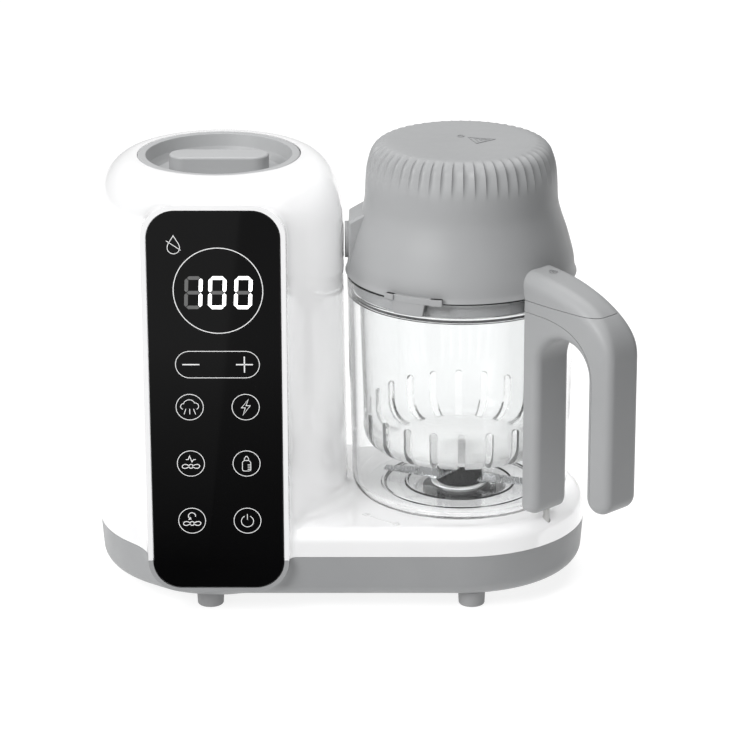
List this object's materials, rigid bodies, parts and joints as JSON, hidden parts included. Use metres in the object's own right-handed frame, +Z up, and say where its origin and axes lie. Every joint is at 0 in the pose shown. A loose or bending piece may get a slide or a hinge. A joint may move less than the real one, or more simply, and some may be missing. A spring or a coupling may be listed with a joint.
{
  "type": "baby food maker",
  "caption": "Countertop steamer and blender for baby food: white tower with black touch panel and water tank, clear lidded jug with grey handle, steam basket and blades on a belt-driven deck.",
  "frame": {"origin": "under the middle of the whole object, handle included, at floor level", "axes": "+X from the control tower towards the jug, +Y to the back, +Z up"},
  "size_m": [0.2902, 0.1616, 0.2436],
  "materials": {
    "white_plastic": "high gloss moulded",
    "grey_plastic": "satin moulded",
    "lid_plastic": "satin moulded",
    "black_panel": "polished black with white printed symbols",
    "clear_plastic": "clear polished",
    "rubber": "matt",
    "seal_rubber": "matt",
    "silicone": "satin translucent",
    "steel": "brushed",
    "brass": "turned",
    "alloy": "cast",
    "board": "solder resist",
    "nylon": "satin moulded"
  },
  "bodies": {
    "base": {"base_tray": "grey_plastic", "upper_housing": "white_plastic", "foot_front_left": "rubber", "foot_front_right": "rubber", "foot_back_left": "rubber", "foot_back_right": "rubber", "base_screw_1": "steel", "base_screw_2": "steel", "base_screw_3": "steel", "base_screw_4": "steel", "cord_gland": "nylon", "control_panel": "black_panel", "touch_board": "board", "display_module": "nylon", "power_board": "board", "water_tank": "clear_plastic", "boiler_body": "alloy", "boiler_cover": "alloy", "boiler_stand": "nylon", "thermostat": "steel", "water_pump": "nylon", "steam_outlet": "rubber", "feed_hose": "silicone", "boiler_hose": "silicone", "steam_hose": "silicone", "chassis_plate": "nylon", "motor_bracket": "steel", "motor_body": "alloy", "drive_belt": "seal_rubber", "lower_bush": "brass", "bearing_housing": "nylon", "upper_bush": "brass", "interlock_switch": "nylon"},
    "motor_rotor": {"motor_shaft": "steel", "motor_pulley": "nylon"},
    "drive_rotor": {"driven_pulley": "nylon", "drive_shaft": "steel", "drive_coupling": "nylon"},
    "cap_seal": {"tank_cap_seal": "silicone"},
    "tank_cap": {"tank_cap": "grey_plastic"},
    "base_ring": {"jug_base_ring": "grey_plastic"},
    "jug": {"jug": "clear_plastic", "handle_grip": "lid_plastic", "handle_cover": "lid_plastic", "blade_bearing": "silicone"},
    "blades": {"blade_spindle": "steel", "blade_hub": "nylon", "lower_blade": "steel", "upper_blade": "steel", "jug_coupling": "nylon"},
    "basket": {"steam_basket": "clear_plastic"},
    "lid_ring": {"lid_inner_ring": "grey_plastic", "lid_gasket": "seal_rubber"},
    "lid": {"lid_shell": "lid_plastic", "lid_latch_tab": "lid_plastic", "steam_spigot": "rubber"},
    "interlock_rod": {"interlock_rod": "nylon"},
    "interlock_plunger": {"interlock_plunger": "nylon"}
  },
  "joints": [
    {"name": "motor_spin", "type": "hinge", "parent": "base", "child": "motor_rotor", "pos_m": [-0.07705, 0.01276, 0.03], "axis": [0, 0, 1], "continuous": true},
    {"name": "drive_spin", "type": "hinge", "parent": "base", "child": "drive_rotor", "pos_m": [0.05155, 0.01276, 0.03], "axis": [0, 0, 1], "continuous": true},
    {"name": "cap_lift", "type": "slide", "parent": "base", "child": "cap_seal", "axis": [0, 0, 1], "range_m": [0, 0.06]},
    {"name": "cap_twist", "type": "hinge", "parent": "cap_seal", "child": "tank_cap", "pos_m": [-0.07705, 0.01276, 0.23], "axis": [0, 0, 1], "range_deg": [0, 90]},
    {"name": "jug_lift", "type": "slide", "parent": "base", "child": "base_ring", "axis": [0, 0, 1], "range_m": [0, 0.15]},
    {"name": "jug_twist", "type": "hinge", "parent": "base_ring", "child": "jug", "pos_m": [0.05155, 0.01276, 0.048], "axis": [0, 0, 1], "range_deg": [0, 18]},
    {"name": "blade_spin", "type": "hinge", "parent": "jug", "child": "blades", "pos_m": [0.05155, 0.01276, 0.055], "axis": [0, 0, 1], "continuous": true},
    {"name": "lid_lift", "type": "slide", "parent": "jug", "child": "lid_ring", "axis": [0, 0, 1], "range_m": [0, 0.135]},
    {"name": "lid_twist", "type": "hinge", "parent": "lid_ring", "child": "lid", "pos_m": [0.05155, 0.01276, 0.172], "axis": [0, 0, 1], "range_deg": [0, 28]},
    {"name": "basket_lift", "type": "slide", "parent": "jug", "child": "basket", "axis": [0, 0, 1], "range_m": [0, 0.102]},
    {"name": "interlock_rod_slide", "type": "slide", "parent": "jug", "child": "interlock_rod", "axis": [0, 0, 1], "range_m": [0, 0.003]},
    {"name": "interlock_plunger_slide", "type": "slide", "parent": "base", "child": "interlock_plunger", "axis": [0, 0, 1], "range_m": [0, 0.002]}
  ],
  "couplings": [
    {"joint": "drive_spin", "follows": "motor_spin", "ratio": 0.35294},
    {"joint": "blade_spin", "follows": "motor_spin", "ratio": 0.35294},
    {"joint": "basket_lift", "follows": "lid_lift", "ratio": 0.75},
    {"joint": "interlock_rod_slide", "follows": "lid_lift", "ratio": 0.02},
    {"joint": "interlock_plunger_slide", "follows": "jug_lift", "ratio": 0.012}
  ]
}
